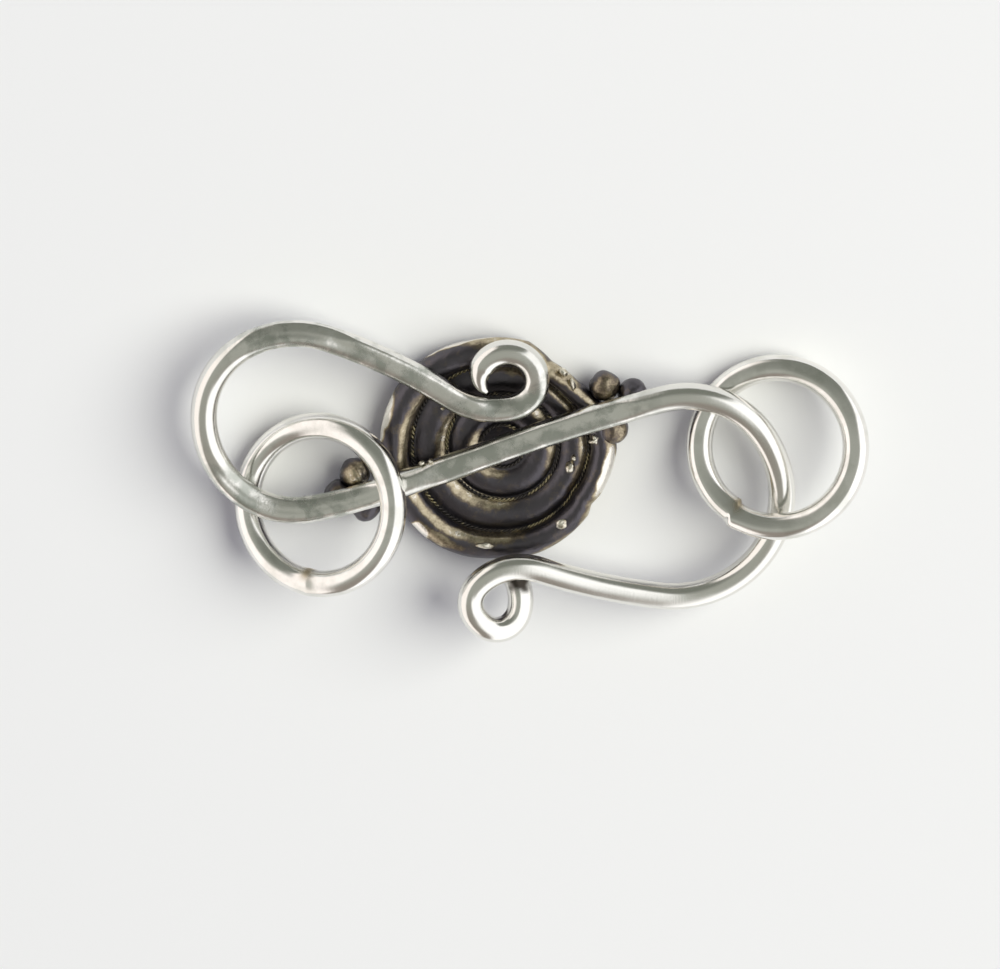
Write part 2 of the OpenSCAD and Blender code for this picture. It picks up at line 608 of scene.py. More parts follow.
class SubAssembly(ABC):
    """A part of the clasp that builds its pieces and dresses them."""

    node: Node
    slot: Slot

    @abstractmethod
    def pieces(self) -> Dressed:
        """Builds the sub-assembly's pieces, each with its finish."""

    def build(self) -> list[bpy.types.Object]:
        """Builds and dresses the pieces, and ties each to the frame.

        Returns:
            The pieces.
        """
        made = []
        for piece, finish in self.pieces():
            piece.data.materials.append(finish.material())
            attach(piece, "root")
            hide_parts(self.node.value)
            made.append(piece)
        return made


class HookPart(SubAssembly):
    """A sub-assembly that is soldered to the others of the hook, as one solid."""

    node = Node.HOOK
    slot = Slot.HOOK


@dataclass(frozen=True)
class Bend:
    """One arc of a hand-bent wire: its length, how many degrees it turns to the left, and how many
    degrees it is rolled about the wire from the bend before it."""

    length: float
    turn: float
    roll: float = 0.0


@dataclass(frozen=True)
class HammeredFlat:
    """A stretch of wire that was hammered on top: where it starts and ends, how far the flat leans
    back in degrees, and how high it stands as a share of the wire's radius."""

    start: float
    end: float
    lean: float
    level: float


@dataclass
class Walk:
    """A wire's centre line: places, directions, upward directions and radii."""

    place: np.ndarray
    ahead: np.ndarray
    up: np.ndarray
    radius: np.ndarray

    def joined(self, other: "Walk") -> "Walk":
        """Walks from this one's far end back to its start, and then along another one.

        Args:
            other: the other one, which starts where this one does.

        Returns:
            The whole walk.
        """
        back = Walk(self.place[::-1], -self.ahead[::-1], self.up[::-1], self.radius[::-1])
        parts = [(getattr(back, f)[:-1], getattr(other, f)) for f in ("place", "ahead", "up", "radius")]
        return Walk(*(np.concatenate(pair) for pair in parts))


@dataclass
class HookWire(HookPart):
    """The round wire that is bent to the S, with a curl at each end."""

    wire_d: float = 1.28
    height: float = 2.1
    bar_angle: float = 21.0
    # How much thinner the wire is after each bend
    draw_down: float = 0.008
    right_bends: tuple[Bend, ...] = (
        Bend(8.0, -6), Bend(5.3, -72.4, 4.6), Bend(2.3, -21), Bend(9.35, -110.5, -5.7), Bend(6.0, -11.7),
        Bend(3.1, 65, 2), Bend(1.8, 84), Bend(0.45, 4), Bend(2.4, 126, -14), Bend(1.6, 36),
    )
    left_bends: tuple[Bend, ...] = (
        Bend(6.2, -2), Bend(3.2, -9), Bend(3.8, -55), Bend(4.1, -49), Bend(4.3, -62),
        Bend(3.5, -43), Bend(6.4, -15), Bend(3.1, 46), Bend(5.4, 228), Bend(1.26, 72),
    )
    # Distances from the tip of the upper curl
    flats: tuple[HammeredFlat, ...] = (
        HammeredFlat(2.8, 10.3, 31, 0.8),
        HammeredFlat(6.3, 18.0, 4, 0.8),
        HammeredFlat(13.0, 22.0, 31, 0.75),
        HammeredFlat(25.0, 37.5, 27, 0.79),
        HammeredFlat(35.5, 50.0, 16, 0.82),
    )
    # How far a hammered flat takes to fade out at its ends
    fade: float = 3.0
    # How sharp a flat's edges are, as shares of the wire's radius: the one that it leans to, and the other
    near_edge: float = 0.035
    far_edge: float = 0.18
    # Middle and reach of the dark patches in the wire's corners, which stand partly for patina that is
    # left there and partly for painted shade, how their edges waver, and between which shares of their
    # reach they fade out
    stains: tuple[tuple[float, float, float, float], ...] = (
        (-0.5, -4.95, 2.6, 0.62), (-1.05, -6.55, 2.5, 0.4), (-1.5, -4.1, 2.3, 0.5), (-3.0, 3.1, 1.5, 0.6),
        (-1.2, 2.3, 1.6, 0.7),
    )
    stain_waver: Ripple = Ripple(0.35, 0.35, 8.0)
    stain_fade: Span = (0.55, 1.1)
    # The last bend of the left half is filed to a point: its blunt tip, and how hollow its sides are
    tip_d: float = 0.34
    point_curve: float = 0.75
    step: float = 0.1
    sides: int = 64
    # How far along the wire a change of curve is spread by the pliers
    easing: float = 0.28
    # How the flats' lean, in degrees, and their level waver along the wire
    lean_waver: Ripple = Ripple(4.0, 1.7, 20.0)
    level_waver: Ripple = Ripple(0.02, 1.3, 30.0)
    dents: Ripple = Ripple(0.012, 1.0, 1.0)
    # How much of the dents' depth there is where the wire isn't hammered
    least_dents: float = 0.3
    waves: Ripple = Ripple(0.006, 4.0, 2.0)
    end_rounding: float = 0.14
    end_rings: int = 5
    # Size of the last of these rings, as a share of the wire
    last_ring: float = 0.05

    def eased(self, values: np.ndarray, step: float) -> np.ndarray:
        """Spreads how much the wire turns or rolls at each step over the steps around it.

        Args:
            values: how much it turns or rolls at each step.
            step: the steps' length.

        Returns:
            The values, blurred by a bell curve that is cut off at three times its width.
        """
        reach = int(3 * self.easing / step)
        window = np.exp(-0.5 * (np.arange(-reach, reach + 1) * step / self.easing) ** 2)
        return np.convolve(np.pad(values, reach, "edge"), window / window.sum(), "valid")

    def half(self, bends: tuple[Bend, ...], heading: float) -> Walk:
        """Walks along half of the wire from the middle of the bar.

        Args:
            bends: the half's bends.
            heading: the direction that it starts in, in degrees.

        Returns:
            The half's centre line.
        """
        ends = np.cumsum([0.0] + [b.length for b in bends])
        count = round(ends[-1] / self.step)
        step = ends[-1] / count
        middles = (np.arange(count) + 0.5) * step
        turn = np.array([b.turn / b.length for b in bends])[np.searchsorted(ends, middles) - 1] * step
        roll = np.zeros(count)
        for start, bend in zip(ends, bends):
            roll[int(start / step)] += bend.roll
        turn, roll = self.eased(turn, step), self.eased(roll, step)
        at = Vector((*BAR_MIDDLE, self.height))
        ahead = Vector((math.cos(math.radians(heading)), math.sin(math.radians(heading)), 0))
        up = Vector((0, 0, 1))
        rows = [(at, ahead, up)]
        for turned, rolled in zip(np.radians(turn), np.radians(roll)):
            up = Matrix.Rotation(rolled, 3, ahead) @ up
            at = at + (Matrix.Rotation(turned / 2, 3, up) @ ahead) * step
            ahead = Matrix.Rotation(turned, 3, up) @ ahead
            rows.append((at, ahead, up))
        place, ahead, up = (np.array([row[k] for row in rows]) for k in range(3))
        along = np.arange(count + 1) * step
        radius = self.wire_d / 2 - self.draw_down / 2 * np.interp(along, ends[:-1], range(len(bends)))
        return Walk(place, ahead, up, radius)

    def section(self, along: np.ndarray, walk: Walk) -> tuple[np.ndarray, np.ndarray]:
        """The wire's section at distances from the tip.

        Args:
            along: the distances.
            walk: the wire's centre line.

        Returns:
            The share of its radius that the wire has at each distance and angle, and how hammered
            it is at each distance, from 0 to 1.
        """
        around = full_turn(self.sides)
        share = np.ones((len(along), self.sides))
        beaten = np.zeros(len(along))
        places = np.column_stack([along, np.zeros_like(along), np.zeros_like(along)])
        # A flat fades out above the wire, and cuts nothing where the wire faces away from it
        above, facing_away, far_off = 1.4, 0.2, 5.0
        # The sine over which its near edge changes to its far one, and the lean, in radians, from which
        # the two differ fully
        change, full_lean = 0.4, 0.3
        for k, flat in enumerate(self.flats):
            amount = smooth_step(flat.start, flat.start + self.fade, along)
            amount = amount * (1 - smooth_step(flat.end - self.fade, flat.end, along))
            beaten = np.maximum(beaten, amount)
            top = leaned_back(flat.lean)
            lean = np.arctan2(np.cross(walk.up, walk.ahead) @ top, walk.up @ top)
            lean = (lean + np.radians(self.lean_waver.at(places, k)))[:, None]
            level = flat.level + self.level_waver.at(places, k)
            level = (level * amount + above * (1 - amount))[:, None]
            off = around[None, :] - math.pi / 2 + lean
            facing = np.cos(off)
            cut = np.where(facing > facing_away, level / np.maximum(facing, facing_away), far_off)
            near = smooth_step(-change, change, -np.sin(off) * np.clip(lean / full_lean, -1, 1))
            edge = self.far_edge + (self.near_edge - self.far_edge) * near
            share = -smooth_max(-share, -cut, edge)
        return np.minimum(share, 1.0), beaten

    def taper(self, along: np.ndarray) -> np.ndarray:
        """How thick the filed point is at distances from its tip, as a share of the whole wire."""
        tip = self.tip_d / self.wire_d
        return tip + (1 - tip) * np.clip(along / self.left_bends[-1].length, 0, 1) ** self.point_curve

    def stained(self, points: np.ndarray) -> np.ndarray:
        """How far the wire's corners are darkened, partly as patina that is left there and partly as
        painted shade.

        Args:
            points: places on it, in rows of three.

        Returns:
            A number from 0 to 1 for each place.
        """
        stain = np.zeros(len(points))
        waver = self.stain_waver.at(points)
        for *middle, reach in self.stains:
            away = np.linalg.norm(points - middle, axis=1) / reach + waver
            stain = np.maximum(stain, 1 - smooth_step(*self.stain_fade, away))
        return stain

    def rounded_end(self, rim: np.ndarray, middle: np.ndarray, ahead: np.ndarray) -> np.ndarray:
        """Rounds off an end of the wire.

        Args:
            rim: the wire's last row of vertices.
            middle: the middle of the row.
            ahead: the direction out of the wire.

        Returns:
            Smaller and smaller rows of vertices that go on from it.
        """
        swing = np.linspace(0, math.pi / 2, self.end_rings + 1)[1:]
        shrunk = np.maximum(np.cos(swing), self.last_ring)[:, None, None]
        bulge = (np.sin(swing) * self.end_rounding)[:, None, None]
        return middle + (rim - middle) * shrunk + ahead * bulge

    def pieces(self) -> Dressed:
        """Builds the wire as one closed mesh.

        Returns:
            The piece and its finish.
        """
        walk = self.half(self.left_bends, self.bar_angle + 180)
        walk = walk.joined(self.half(self.right_bends, self.bar_angle))
        steps = np.linalg.norm(np.diff(walk.place, axis=0), axis=1)
        along = np.concatenate([[0], np.cumsum(steps)])
        radius = walk.radius * self.taper(along)
        share, beaten = self.section(along, walk)
        spoke = spokes(np.cross(walk.up, walk.ahead), walk.up, self.sides)
        rows = walk.place[:, None, :] + spoke * (share * radius[:, None])[..., None]
        rough = self.least_dents + np.repeat(beaten, self.sides)
        axis = np.repeat(walk.place, self.sides, 0)
        dent = self.dents.at(rows.reshape(-1, 3)) * rough + self.waves.at(axis)
        rows = rows + spoke * dent.reshape(len(along), self.sides)[..., None]
        rows = np.concatenate([
            self.rounded_end(rows[0], walk.place[0], -walk.ahead[0])[::-1],
            rows,
            self.rounded_end(rows[-1], walk.place[-1], walk.ahead[-1]),
        ])
        points = np.concatenate([rows.reshape(-1, 3), [rows[0].mean(0), rows[-1].mean(0)]])
        smooth = np.concatenate([np.repeat(1 - np.pad(beaten, self.end_rings), self.sides), [1, 1]])
        faces = capped_faces(len(rows), self.sides)
        # The darkened corners stand partly for patina and partly for painted shade
        piece = make_piece("hook_wire", points, faces, wear=smooth, stain=self.stained(points))
        return [(piece, HammeredSilver())]


@dataclass(frozen=True)
class RubbedPatch:
    """A stretch of the rim that is rubbed bright: its middle and half width in degrees, and where
    round the rim's edge it lies, in degrees up from its outermost line."""

    angle: float
    half_width: float
    lift: float
    lift_width: float
    wear: float


@dataclass
class Disc(HookPart):
    """The shallow dish under the hook wire, built up of half-round rings, with a lumpy rim."""

    offset: Span = (-0.03, -0.3)
    radius: float = 5.4
    rim_height: float = 1.56
    rim_round: float = 0.62
    floor_height: float = 0.55
    foot_r: float = 3.0
    dish_inset: float = 0.4
    # Radius of the crest, height of the crest and radius of the rounding of the two inner ribs
    ribs: tuple[Triple, ...] = ((1.84, 0.8, 0.9), (3.37, 1.02, 0.9))
    # How far the inner rings lie off the rim's middle, towards the right
    rings_shift: float = 0.16
    fillet: float = 0.035
    # The direction that the rings' lighter sides face, in degrees: a painted highlight on the sides
    # towards the lamp
    highlight_way: float = 30.0
    turns: int = 320
    # Direction in degrees and radius of the rim's hand-cut outline
    outline: tuple[Span, ...] = (
        (-180, 5.6), (-137, 5.53), (-124, 5.58), (-108, 5.54), (-92, 5.39), (-70, 5.43), (-50, 5.35),
        (-38, 5.29), (-32, 5.1), (-26, 5.24), (-14, 5.35), (0, 5.5), (25, 5.3), (42, 4.92), (60, 4.9),
        (75, 5.38), (104, 5.44), (120, 5.57), (140, 5.68), (165, 5.63),
    )
    patches: tuple[RubbedPatch, ...] = (
        RubbedPatch(-12, 17, 38, 50, 1.0),
        RubbedPatch(-62, 16, 20, 40, 0.5),
        RubbedPatch(162, 15, 0, 60, 0.95),
        RubbedPatch(110, 22, -12, 34, 0.95),
        RubbedPatch(-134, 6, 34, 44, 1.0),
        RubbedPatch(-124, 15, 66, 34, 0.5),
        RubbedPatch(52, 12, 40, 60, 0.6),
    )
    # Between which shares of its reach a patch fades out
    patch_fade: Span = (0.65, 1.2)
    # How many rows of vertices the dish, the rim, the underside and the foot have
    dish_rows: int = 110
    rim_rows: int = 26
    under_rows: int = 10
    foot_rows: int = 8
    # Radius of the row of vertices round the middle
    hub_r: float = 0.02
    # Directions, in degrees up from the rim's outermost line: the rim's lower edge, and what stands
    # for the underside and the foot
    rim_low: float = -33.0
    under_up: float = -73.0
    foot_up: float = -120.0
    # Between which radii the true circle goes over to the outline, and the inner rings' shift to none
    outline_fade: Span = (2.6, 5.4)
    shift_fade: Span = (3.2, 4.9)
    # Between which radii and above which height the rim's waves start
    rim_start: Span = (3.9, 4.6)
    rim_bottom: float = 0.3
    lumps: Ripple = Ripple(0.03, 0.9, 3.0)
    fine_lumps: Ripple = Ripple(0.012, 0.35, 4.0)
    # How lumpy the dish is, as a share of the rim
    dish_lumps: float = 0.45
    rim_waves: Ripple = Ripple(0.05, 2.2, 5.0)
    rubbing: Ripple = Ripple(1.0, 0.6, 9.0)
    # How far the hollows are rubbed, and how much painted highlight the rings' sides that face the lamp
    # get on top of that
    hollow_wear: float = 0.13
    flank_highlight: float = 0.47
    # How uneven the rubbing is on the dish, and at the edges of the patches
    dish_uneven: float = 0.1
    patch_uneven: float = 0.3

    @property
    def centre(self) -> np.ndarray:
        """The disc's middle in the clasp's frame."""
        return BAR_MIDDLE + np.array(self.offset)

    @property
    def rim_crest(self) -> Span:
        """Radius and height of the middle of the rim's rounding."""
        return self.radius - self.rim_round, self.rim_height - self.rim_round

    def top(self, r: np.ndarray) -> np.ndarray:
        """Follows the dish's upper surface, inside the rim's crest.

        Args:
            r: distances from the disc's middle.

        Returns:
            The height at each distance.
        """
        crest_r, crest_z = self.rim_crest
        slope = [0, self.foot_r - self.dish_inset, crest_r]
        height = np.interp(r, slope, [self.floor_height, self.floor_height, crest_z])
        for middle, crest, rounding in (*self.ribs, (crest_r, self.rim_height, self.rim_round)):
            arc = np.sqrt(np.maximum(rounding ** 2 - (r - middle) ** 2, 0))
            rib = np.where(arc > 0, crest - rounding + arc, -1.0)
            height = smooth_max(height, rib, self.fillet)
        return height

    def section(self) -> tuple[np.ndarray, np.ndarray]:
        """Walks round half of the disc's section, from its upper middle to its lower one.

        Returns:
            The distances from the middle and heights, and how far each is up round the rim in degrees.
        """
        crest_r, crest_z = self.rim_crest
        inner = np.linspace(self.hub_r, crest_r, self.dish_rows)
        dish = np.column_stack([inner, self.top(inner)])
        swing = np.radians(np.linspace(90, self.rim_low, self.rim_rows)[1:])
        rim = np.column_stack([np.cos(swing), np.sin(swing)]) * self.rim_round + (crest_r, crest_z)
        under = np.linspace(rim[-1], (self.foot_r, 0), self.under_rows)[1:]
        foot = np.linspace((self.foot_r, 0), (self.hub_r, 0), self.foot_rows)[1:]
        # The dish counts as just above the middle of the rim's rounding where it lies lower
        least_rise = 0.02
        rise = np.maximum(dish[:, 1] - crest_z, least_rise)
        dish_up = np.degrees(np.arctan2(rise, inner - crest_r))
        under_up, foot_up = np.full(len(under), self.under_up), np.full(len(foot), self.foot_up)
        up = np.concatenate([dish_up, np.degrees(swing), under_up, foot_up])
        return np.concatenate([dish, rim, under, foot]), up

    def rim_scale(self, angle: np.ndarray) -> np.ndarray:
        """The hand-cut outline's radius in directions in radians, as a share of the true circle's."""
        degrees, radii = zip(*self.outline)
        return np.interp(np.degrees(angle), degrees, radii, period=360) / self.radius

    def place(self, r: np.ndarray, angle: np.ndarray, height: np.ndarray) -> np.ndarray:
        """Puts places of the true disc onto the hand-made one.

        Args:
            r: distances from the middle.
            angle: directions in radians.
            height: heights above the table.

        Returns:
            The places in the clasp's frame, in rows of three.
        """
        stretched = r * (1 + (self.rim_scale(angle) - 1) * smooth_step(*self.outline_fade, r))
        inwards = 1 - smooth_step(*self.shift_fade, r)
        places = polar(stretched, angle, height)
        places[:, 0] += self.centre[0] + self.rings_shift * inwards
        places[:, 1] += self.centre[1]
        return places

    def wear_and_highlight(self, up: np.ndarray, angle: np.ndarray, lean: np.ndarray, uneven: np.ndarray) -> np.ndarray:
        """How far the patina is rubbed off, with a painted highlight added on the rings' sides that face
        the lamp.

        Args:
            up: how far up round the rim each place is, in degrees.
            angle: directions in radians.
            lean: how far the surface faces away from the middle, from -1 to 1.
            uneven: how much more or less than its surroundings it is rubbed, from -1 to 1.

        Returns:
            A number from 0 to 1 for each place.
        """
        # Sides of the rings that face the lamp are made lighter: a painted highlight, not rubbing
        right = lean * np.cos(angle - math.radians(self.highlight_way))
        gentle, steep = (0.06, 0.38), (0.6, 0.9)
        flanks = smooth_step(*gentle, right) * (1 - smooth_step(*steep, right))
        wear = self.hollow_wear + self.flank_highlight * flanks + self.dish_uneven * uneven
        degrees = np.degrees(angle)
        for patch in self.patches:
            off = (degrees - patch.angle + 180) % 360 - 180
            away = np.hypot(off / patch.half_width, (up - patch.lift) / patch.lift_width)
            away = away + self.patch_uneven * uneven
            wear = np.maximum(wear, patch.wear * (1 - smooth_step(*self.patch_fade, away)))
        return wear

    def pieces(self) -> Dressed:
        """Builds the disc as one closed mesh.

        Returns:
            The piece and its finish.
        """
        rows, up = self.section()
        r, z, lift = (np.repeat(column, self.turns) for column in (rows[:, 0], rows[:, 1], up))
        angle = np.tile(full_turn(self.turns), len(rows))
        points = self.place(r, angle, z)
        on_rim = smooth_step(*self.rim_start, r) * (z > self.rim_bottom)
        on_top = lift > self.under_up
        lumps = self.lumps.at(points) + self.fine_lumps.at(points)
        points[:, 2] += lumps * on_top * (self.dish_lumps + (1 - self.dish_lumps) * on_rim)
        points[:, 2] += self.rim_waves.at(points) * on_rim
        ahead = np.gradient(rows, axis=0)
        lean = np.repeat(-ahead[:, 1] / np.linalg.norm(ahead, axis=1), self.turns)
        # Rubbing and painted highlight, in one value
        wear = self.wear_and_highlight(lift, angle, lean, self.rubbing.at(points))
        hubs = self.place(np.zeros(2), np.zeros(2), np.array([rows[0, 1], 0.0]))
        hub_wear = [0.1, 0]
        points, wear = np.concatenate([points, hubs]), np.concatenate([wear, hub_wear])
        faces = flipped(capped_faces(len(rows), self.turns))
        return [(make_piece("ribbed_disc", points, faces, wear=wear), OxidisedSilver())]


@dataclass
class TwistedWires(HookPart):
    """Thin twisted wires that lie in the grooves between the disc's rings."""

    disc: Disc
    # The wires' names and the radii of their circles
    wires: tuple[tuple[str, float], ...] = (
        ("inner_twisted_wire", 1.03), ("middle_twisted_wire", 2.62), ("outer_twisted_wire", 4.09),
    )
    strand_d: float = 0.095
    # How much thicker the strands are than what their distance leaves, so that they touch all along
    overlap: float = 1.08
    twist: float = 0.42
    strands: int = 2
    steps_a_twist: int = 14
    sides: int = 10
    # How much of its thickness each wire is sunk in solder
    sunk: float = 0.5
    # Between which heights the wire's top is rubbed, from its middle, as shares of a strand's radius
    rubbed: Span = (-0.4, 1.3)

    def strand(self, radius: float, turn: float) -> tuple[Mesh, np.ndarray]:
        """Winds one strand of a twisted wire.

        Args:
            radius: the radius of the wire's circle.
            turn: where round the twist the strand starts, in radians.

        Returns:
            The strand, and how far each of its vertices is rubbed bright.
        """
        twists = round(2 * math.pi * radius / self.twist)
        angle = full_turn(twists * self.steps_a_twist)
        wound = angle * twists + turn
        half = self.strand_d / 2
        height = self.disc.top(np.array([radius]))[0] + self.strand_d * (1 - self.sunk)
        away = polar(1, angle, 0)
        along = polar(radius, angle + math.pi / 2, half * twists * np.cos(wound))
        along -= away * (half * twists * np.sin(wound))[:, None]
        along /= np.linalg.norm(along, axis=1, keepdims=True)
        first = np.cross(along, away)
        first /= np.linalg.norm(first, axis=1, keepdims=True)
        offset = spokes(first, np.cross(along, first), self.sides) * half * self.overlap
        middle = polar(radius + half * np.cos(wound), angle, height + half * np.sin(wound))
        points = (middle[:, None, :] + offset).reshape(-1, 3)
        low, high = self.rubbed
        wear = smooth_step(height + half * low, height + half * high, points[:, 2])
        flat_r = np.hypot(points[:, 0], points[:, 1])
        flat_angle = np.arctan2(points[:, 1], points[:, 0])
        points = self.disc.place(flat_r, flat_angle, points[:, 2])
        return (points, tube_faces(len(angle), self.sides, True)), wear

    def pieces(self) -> Dressed:
        """Builds each twisted wire as one piece of its strands.

        Returns:
            The pieces and their finish.
        """
        turns = full_turn(self.strands)
        wires = {name: [self.strand(radius, turn) for turn in turns] for name, radius in self.wires}
        return [(joined_piece(name, strands), TarnishedSilver()) for name, strands in wires.items()]


@dataclass
class Granules(HookPart):
    """The two clusters of three small balls at the disc's ends, fused to each other."""

    diameter: float = 1.42
    height: float = 1.1
    # X and Y of each from the middle of the bar, and how light its top is, partly from rubbing and partly
    # as painted highlight
    right: tuple[Triple, ...] = ((4.88, 2.83, 0.5), (6.19, 2.43, 0.2), (5.3, 0.71, 0.42))
    left: tuple[Triple, ...] = ((-6.8, -1.45, 0.62), (-7.5, -2.52, 0.3), (-6.3, -3.1, 0.2))
    rings: int = 40
    sides: int = 64
    seed: float = 6.0
    # How large a ball is on average, as a share of the diameter
    fullness: float = 0.99
    big_lumps: Ripple = Ripple(0.11, 0.8)
    small_lumps: Ripple = Ripple(0.03, 0.35, 0.5)
    # How much a ball's right side, which faces the lamp, counts beside its top as painted highlight, and
    # from which sum to which it is lighter
    lamp_side_highlight: float = 0.3
    rubbed: Span = (-0.2, 0.9)

    def ball(self, place: Triple, seed: float) -> tuple[Mesh, np.ndarray]:
        """Makes one uneven ball.

        Args:
            place: its X and Y from the middle of the bar, and how light its top is, partly from rubbing
            and partly as painted highlight.
            seed: makes its unevenness its own.

        Returns:
            The ball, and how light each of its vertices is, from rubbing and from a painted highlight on
            the side towards the lamp.
        """
        x, y, rubbed = place
        ways, faces = ball_mesh(self.rings, self.sides)
        uneven = self.fullness + self.big_lumps.at(ways, seed) + self.small_lumps.at(ways, seed)
        points = from_bar(x, y, self.height) + ways * (uneven * self.diameter / 2)[:, None]
        # The top is rubbed, and the side towards the lamp gets a painted highlight
        wear = smooth_step(*self.rubbed, ways[:, 2] + self.lamp_side_highlight * ways[:, 0]) * rubbed
        return (points, faces), wear

    def pieces(self) -> Dressed:
        """Builds each cluster as one piece.

        Returns:
            The pieces and their finish.
        """
        made = []
        for name, places in (("right_granules", self.right), ("left_granules", self.left)):
            balls = [self.ball(place, self.seed + k + place[0]) for k, place in enumerate(places)]
            made.append((joined_piece(name, balls), OxidisedSilver()))
        return made


@dataclass(frozen=True)
class Spot:
    """A bead or puddle of solder: its place, length, width and height, and where it points in degrees."""

    x: float
    y: float
    z: float
    length: float
    width: float
    height: float
    turn: float = 0.0


@dataclass
class SolderSpots(HookPart):
    """Beads and puddles of solder on the dish's rim, on its rings and along the hook wire."""

    spots: tuple[Spot, ...] = (
        Spot(-4.05, 3.42, 2.0, 0.2, 0.16, 0.16),
        Spot(-5.04, 0.85, 2.3, 0.3, 0.2, 0.2, 21),
        Spot(-4.62, 0.95, 2.32, 0.24, 0.2, 0.2, 21),
        Spot(1.5, -2.4, 1.53, 0.56, 0.5, 0.16, 40),
        Spot(1.9, 0.24, 1.02, 0.5, 0.62, 0.26, -10),
        Spot(2.06, 0.68, 1.0, 0.28, 0.34, 0.2, -10),
        Spot(-2.08, -3.47, 1.56, 0.8, 0.32, 0.13, -5),
        Spot(3.0, 1.69, 1.5, 0.55, 0.26, 0.17, 25),
        Spot(3.05, 1.75, 1.5, 0.24, 0.46, 0.16, 15),
        Spot(1.55, 5.05, 1.5, 0.5, 0.3, 0.3, -35),
        Spot(2.0, 4.45, 1.5, 0.66, 0.26, 0.26, -70),
    )
    rings: int = 14
    sides: int = 28
    lumps: Ripple = Ripple(0.22, 0.8, 40.0)

    def bead(self, spot: Spot, seed: float) -> Mesh:
        """Makes one uneven bead.

        Args:
            spot: its place and size.
            seed: makes its unevenness its own.

        Returns:
            The bead.
        """
        ways, faces = ball_mesh(self.rings, self.sides)
        sizes = [spot.length / 2, spot.width / 2, spot.height]
        points = ways * (1 + self.lumps.at(ways, seed))[:, None] * sizes
        turn = np.array(Matrix.Rotation(math.radians(spot.turn), 3, "Z"))
        return points @ turn.T + [spot.x, spot.y, spot.z], faces

    def pieces(self) -> Dressed:
        """Builds all the spots as one piece."""
        beads = (self.bead(spot, k) for k, spot in enumerate(self.spots))
        return [(make_piece("solder_spots", *join_meshes(beads)), FusedSolder())]


@dataclass
class ClosedRing(SubAssembly):
    """A ring of round wire, soldered closed, that is threaded on a loop of the hook.

    Its middle lies at x and y from the middle of the bar, at the height. It leans towards the way, and
    its seam lies at the seam's angle, all in degrees.
    """

    name: str
    node: Node
    x: float
    y: float
    height: float
    lean: float
    way: float
    seam_angle: float
    seam: Seam
    slot: Slot = Slot.RING
    outer_d: float = 8.65
    wire_d: float = 1.24
    steps: int = 260
    sides: int = 56
    seed: float = 0.0
    # How far from the seam, in degrees, the ends bend back into line, and how wide the step is
    miss_reach: float = 16.0
    step_width: float = 1.0
    bead: float = 0.03
    bead_width: float = 5.0
    # How far inwards, of the way from its top to its inside, solder that flowed there starts and is whole
    flowed: Span = (-0.1, 0.75)
    # Its top was planished: how far the flat leans back, in degrees, and how high it stands,
    # as a share of the wire's radius
    flat_lean: float = 27.0
    flat_level: float = 1.1
    flat_edge: float = 0.03
    level_waver: Ripple = Ripple(0.035, 1.6, 12)
    waves: Ripple = Ripple(0.012, 3.0, 10)
    dents: Ripple = Ripple(0.004, 0.9, 11)

    def pieces(self) -> Dressed:
        """Builds the ring as one closed mesh.

        Returns:
            The piece and its finish.
        """
        middle_r = (self.outer_d - self.wire_d) / 2
        angle = full_turn(self.steps) + math.radians(self.seam_angle)
        off_seam = (np.degrees(angle) - self.seam_angle + 180) % 360 - 180
        miss = np.tanh(off_seam / self.step_width) * np.exp(-np.abs(off_seam) / self.miss_reach) / 2
        near = np.exp(-(off_seam / self.bead_width) ** 2)
        around = full_turn(self.sides)
        wire_r = (self.wire_d / 2 + near * self.bead)[:, None]
        miss_out, miss_up = self.seam.value
        r = (middle_r + miss * miss_out)[:, None] + np.cos(around) * wire_r
        z = (miss * miss_up)[:, None] + np.sin(around) * wire_r
        points = polar(r, angle[:, None], z)
        axis = np.repeat(polar(middle_r, angle, 0), self.sides, 0)
        outward = points - axis
        outward /= np.linalg.norm(outward, axis=1, keepdims=True)
        uneven = self.waves.at(axis, self.seed) + self.dents.at(points, self.seed)
        points = points + outward * uneven[:, None]
        lean = Matrix.Rotation(math.radians(self.lean), 3, "Y")
        turn = np.array(Matrix.Rotation(math.radians(self.way), 3, "Z") @ lean).T
        centre = from_bar(self.x, self.y, self.height)
        points = points @ turn + centre
        top = leaned_back(self.flat_lean)
        level = self.flat_level * self.wire_d / 2 + self.level_waver.at(axis, self.seed)
        above = (points - (axis @ turn + centre)) @ top - level
        points = points - smooth_max(above, np.zeros_like(above), self.flat_edge)[:, None] * top
        flowed = (near[:, None] * smooth_step(*self.flowed, -np.cos(around))).ravel()
        faces = flipped(tube_faces(self.steps, self.sides, True))
        return [(make_piece(self.name, points, faces, wear=flowed), PolishedSilver())]


@dataclass(frozen=True)
class Edge:
    """A straight edge of a card of the tent: a plane near the clasp whose normal has these slopes, how
    softly the card ends there, and how much wider it reaches."""

    slopes: Triple
    softness: float
    wider: float = 0.0


@dataclass(frozen=True)
class Card:
    """A card of the tent: its colour and its edges."""

    colour: str
    edges: tuple[Edge, ...]

    def covers(self, tree: bpy.types.NodeTree, way: bpy.types.NodeSocket) -> bpy.types.Node:
        """Adds the card's shape.

        Args:
            tree: the surroundings' tree.
            way: the direction looked in.

        Returns:
            The node that gives how far the card is seen there, from 0 to 1.
        """
        seen = []
        for edge in self.edges:
            out = add_node(tree, "VectorMath", [way, edge.slopes], operation="DOT_PRODUCT")
            reach = (-edge.softness - edge.wider, edge.softness - edge.wider)
            seen.append(add_node(tree, "MapRange", [out, *reach], **EASED))
        share, *others = seen
        for other in others:
            share = add_node(tree, "Math", [share, other], operation="MULTIPLY")
        return share


